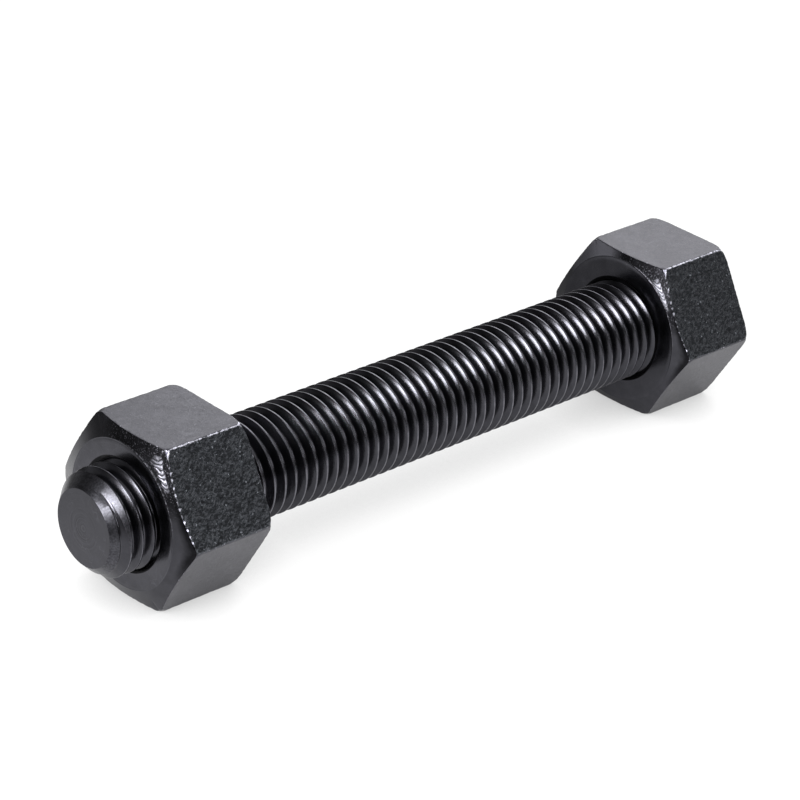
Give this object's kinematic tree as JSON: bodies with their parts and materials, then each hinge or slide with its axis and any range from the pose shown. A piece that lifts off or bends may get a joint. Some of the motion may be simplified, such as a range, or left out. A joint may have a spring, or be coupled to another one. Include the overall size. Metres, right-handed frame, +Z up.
{
  "type": "fully threaded stud bolt with heavy hexagon nuts",
  "caption": "Black steel stud threaded over its whole length, with a heavy hexagon nut run on near each end to clamp flanges between them.",
  "frame": {"origin": "in the plane that the nuts' lower flats rest on, under the middle of the stud", "axes": "X along the stud from the end with the longer reach to the other end, Y across it, +Z up"},
  "size_m": [0.2032, 0.0474, 0.0413],
  "materials": {
    "stud_steel": "black oxide, oiled, glossy thread flanks",
    "nut_steel": "black oxide, matt forged flats with a fine grain"
  },
  "bodies": {
    "stud": {"stud": "stud_steel"},
    "near_nut": {"near_nut": "nut_steel"},
    "far_nut": {"far_nut": "nut_steel"}
  },
  "joints": [
    {"name": "near_nut_turn", "type": "hinge", "parent": "stud", "child": "near_nut", "pos_m": [-0.07895, 0, 0.02064], "axis": [1, 0, 0], "continuous": true},
    {"name": "far_nut_turn", "type": "hinge", "parent": "stud", "child": "far_nut", "pos_m": [0.08135, 0, 0.02064], "axis": [1, 0, 0], "continuous": true}
  ]
}
